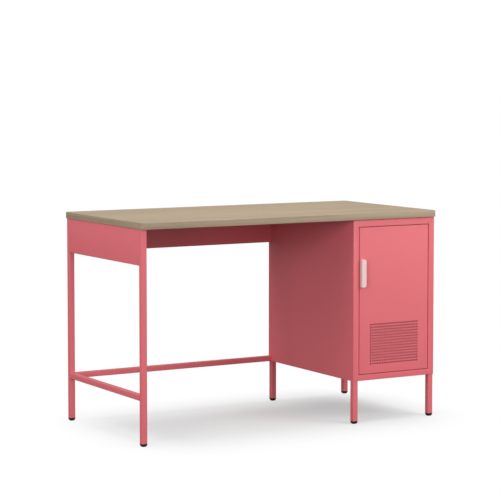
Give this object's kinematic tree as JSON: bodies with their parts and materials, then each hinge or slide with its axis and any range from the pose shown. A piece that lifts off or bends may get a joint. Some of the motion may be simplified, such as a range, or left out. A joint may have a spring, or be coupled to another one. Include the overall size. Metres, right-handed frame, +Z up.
{
  "type": "desk with locker cabinet",
  "caption": "Steel-framed desk with an oak-look board, open knee space and a perforated-door locker cabinet under its right end.",
  "frame": {"origin": "on the floor under the middle of the bounding box", "axes": "+X to the right along the desk's length, -Y to the front where the locker door is, +Z up"},
  "size_m": [1.2, 0.616, 0.756],
  "materials": {
    "coral_paint": "satin powder coat, coral pink",
    "oak_board": "matt oak-look laminate, grain along the length",
    "black_plastic": "fine-grained moulded black",
    "black_rubber": "matt",
    "handle_paint": "satin off-white",
    "zinc_steel": "zinc plated",
    "magnet_ferrite": "dull ground grey"
  },
  "bodies": {
    "desk": {"board_screw_cabinet_5": "zinc_steel", "board_screw_cabinet_6": "zinc_steel", "board_screw_rear_apron_3": "zinc_steel", "board_screw_rear_apron_4": "zinc_steel", "board_screw_side_apron_1": "zinc_steel", "board_screw_side_apron_2": "zinc_steel", "cabinet_back_panel": "coral_paint", "cabinet_floor": "coral_paint", "cabinet_front_frame": "coral_paint", "cabinet_front_left_foot": "black_plastic", "cabinet_front_left_post": "coral_paint", "cabinet_front_right_foot": "black_plastic", "cabinet_front_right_post": "coral_paint", "cabinet_left_panel": "coral_paint", "cabinet_rear_left_foot": "black_plastic", "cabinet_rear_left_post": "coral_paint", "cabinet_rear_right_foot": "black_plastic", "cabinet_rear_right_post": "coral_paint", "cabinet_right_panel": "coral_paint", "cabinet_roof": "coral_paint", "cabinet_shelf": "coral_paint", "catch_housing": "black_plastic", "catch_magnet": "magnet_ferrite", "catch_screw_left": "zinc_steel", "catch_screw_right": "zinc_steel", "hinge_pin_lower": "zinc_steel", "hinge_pin_upper": "zinc_steel", "left_front_foot": "black_plastic", "left_front_leg": "coral_paint", "left_rear_foot": "black_plastic", "left_rear_leg": "coral_paint", "left_side_apron": "coral_paint", "left_side_stretcher": "coral_paint", "rear_apron": "coral_paint", "rear_apron_lower_bolt": "zinc_steel", "rear_apron_lower_nut": "zinc_steel", "rear_apron_upper_bolt": "zinc_steel", "rear_apron_upper_nut": "zinc_steel", "rear_stretcher": "coral_paint", "rear_stretcher_bolt": "zinc_steel", "rear_stretcher_nut_block": "zinc_steel", "shelf_clip_front_left": "zinc_steel", "shelf_clip_front_right": "zinc_steel", "shelf_clip_rear_left": "zinc_steel", "shelf_clip_rear_right": "zinc_steel", "tabletop": "oak_board"},
    "door": {"door_panel": "coral_paint", "door_stiffener": "coral_paint", "door_handle": "handle_paint", "handle_screw_lower": "zinc_steel", "handle_screw_upper": "zinc_steel", "strike_plate": "zinc_steel", "hinge_bush_lower": "black_plastic", "hinge_bush_upper": "black_plastic", "door_bumper_lower": "black_rubber", "door_bumper_upper": "black_rubber"}
  },
  "joints": [
    {"name": "door_hinge", "type": "hinge", "parent": "desk", "child": "door", "pos_m": [0.562, -0.288, 0.441], "axis": [0, 0, 1], "range_deg": [0, 120]}
  ]
}
